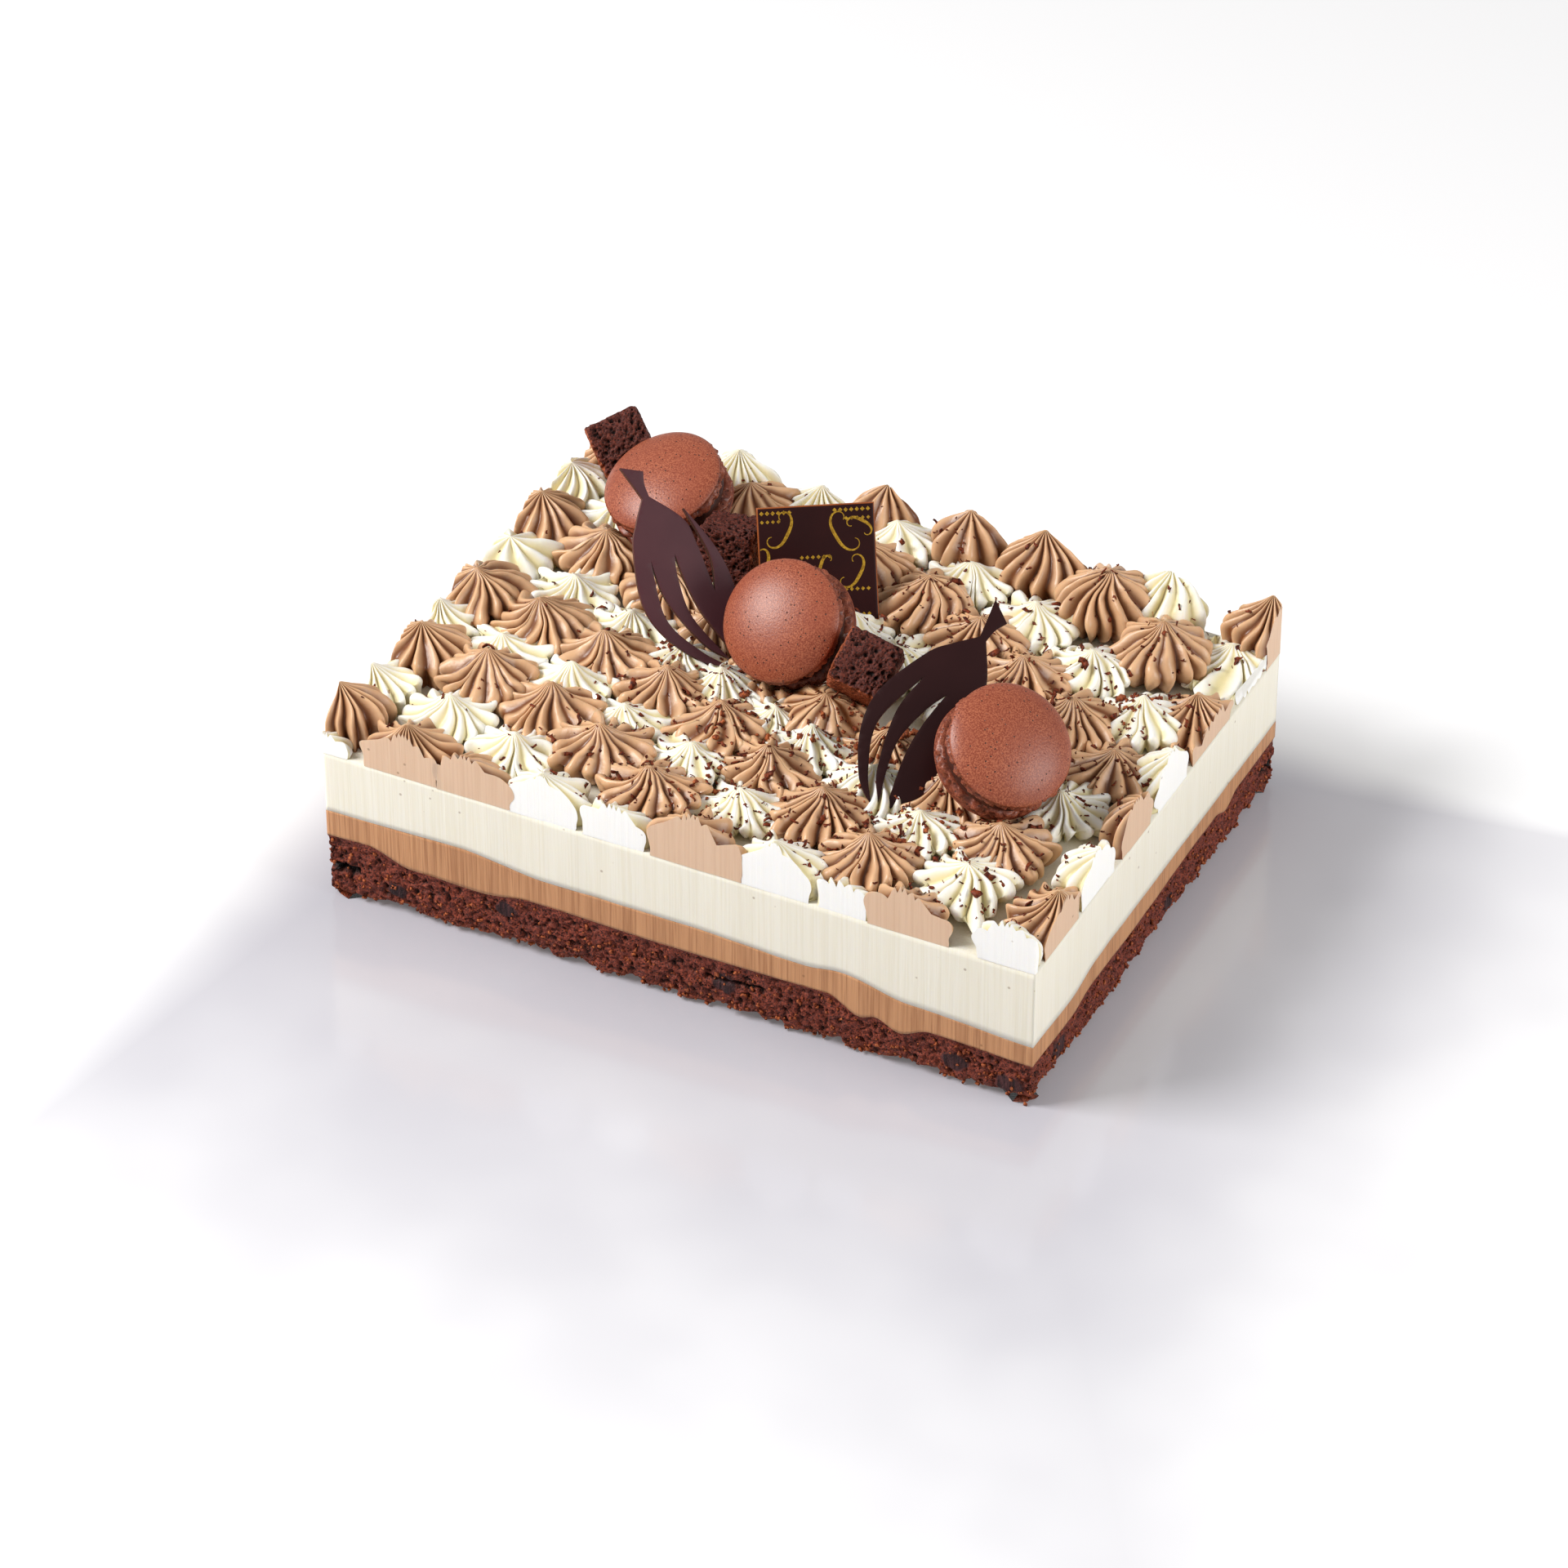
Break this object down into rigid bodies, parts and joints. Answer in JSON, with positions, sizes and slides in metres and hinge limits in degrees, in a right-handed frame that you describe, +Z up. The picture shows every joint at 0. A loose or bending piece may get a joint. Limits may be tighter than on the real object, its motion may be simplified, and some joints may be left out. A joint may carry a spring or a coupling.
{
  "type": "layered mousse cake",
  "caption": "Rectangular layered mousse cake on a brownie base, covered in slanting rows of piped cream rosettes, with macarons, brownie cubes, chocolate leaves and a chocolate plaque on top.",
  "frame": {"origin": "under the middle of the cake, on the plane it rests on", "axes": "+X along the long side, +Y along the short side from the front to the back, +Z up"},
  "size_m": [0.24, 0.185, 0.1111],
  "materials": {
    "brownie": "matt porous chocolate crumb",
    "milk_mousse": "smooth matt mousse with knife streaks",
    "vanilla_mousse": "smooth matt mousse with faint knife streaks",
    "milk_cream": "satin whipped cream",
    "vanilla_cream": "satin whipped cream",
    "macaron_shell": "matt fine-speckled shell with a porous foot",
    "macaron_filling": "dark soft ganache",
    "leaf_chocolate": "satin tempered chocolate",
    "dark_leaf_chocolate": "satin tempered chocolate",
    "plaque_chocolate": "satin tempered chocolate with printed gold ornament"
  },
  "bodies": {
    "root": {"brownie_base": "brownie", "brownie_cube_1": "brownie", "brownie_cube_2": "brownie", "brownie_cube_3": "brownie", "chocolate_leaf_1": "leaf_chocolate", "chocolate_leaf_2": "dark_leaf_chocolate", "chocolate_plaque": "plaque_chocolate", "macaron_1_filling": "macaron_filling", "macaron_1_shell_lower": "macaron_shell", "macaron_1_shell_upper": "macaron_shell", "macaron_2_filling": "macaron_filling", "macaron_2_shell_lower": "macaron_shell", "macaron_2_shell_upper": "macaron_shell", "macaron_3_filling": "macaron_filling", "macaron_3_shell_lower": "macaron_shell", "macaron_3_shell_upper": "macaron_shell", "milk_mousse": "milk_mousse", "milk_rosettes_1": "milk_cream", "milk_rosettes_2": "milk_cream", "milk_rosettes_3": "milk_cream", "milk_rosettes_3_2": "milk_cream", "milk_rosettes_4": "milk_cream", "milk_rosettes_4_2": "milk_cream", "milk_rosettes_5": "milk_cream", "milk_rosettes_6": "milk_cream", "milk_rosettes_6_2": "milk_cream", "milk_rosettes_7": "milk_cream", "milk_rosettes_7_2": "milk_cream", "milk_rosettes_8": "milk_cream", "milk_rosettes_8_2": "milk_cream", "milk_rosettes_8_3": "milk_cream", "milk_rosettes_8_4": "milk_cream", "milk_rosettes_9": "milk_cream", "vanilla_mousse": "vanilla_mousse", "vanilla_rosettes_1": "vanilla_cream", "vanilla_rosettes_10": "vanilla_cream", "vanilla_rosettes_10_2": "vanilla_cream", "vanilla_rosettes_10_3": "vanilla_cream", "vanilla_rosettes_10_4": "vanilla_cream", "vanilla_rosettes_11": "vanilla_cream", "vanilla_rosettes_11_2": "vanilla_cream", "vanilla_rosettes_2": "vanilla_cream", "vanilla_rosettes_3": "vanilla_cream", "vanilla_rosettes_3_2": "vanilla_cream", "vanilla_rosettes_4": "vanilla_cream", "vanilla_rosettes_5": "vanilla_cream", "vanilla_rosettes_6": "vanilla_cream", "vanilla_rosettes_7": "vanilla_cream", "vanilla_rosettes_7_2": "vanilla_cream", "vanilla_rosettes_8": "vanilla_cream", "vanilla_rosettes_9": "vanilla_cream", "vanilla_rosettes_9_2": "vanilla_cream"}
  },
  "joints": []
}
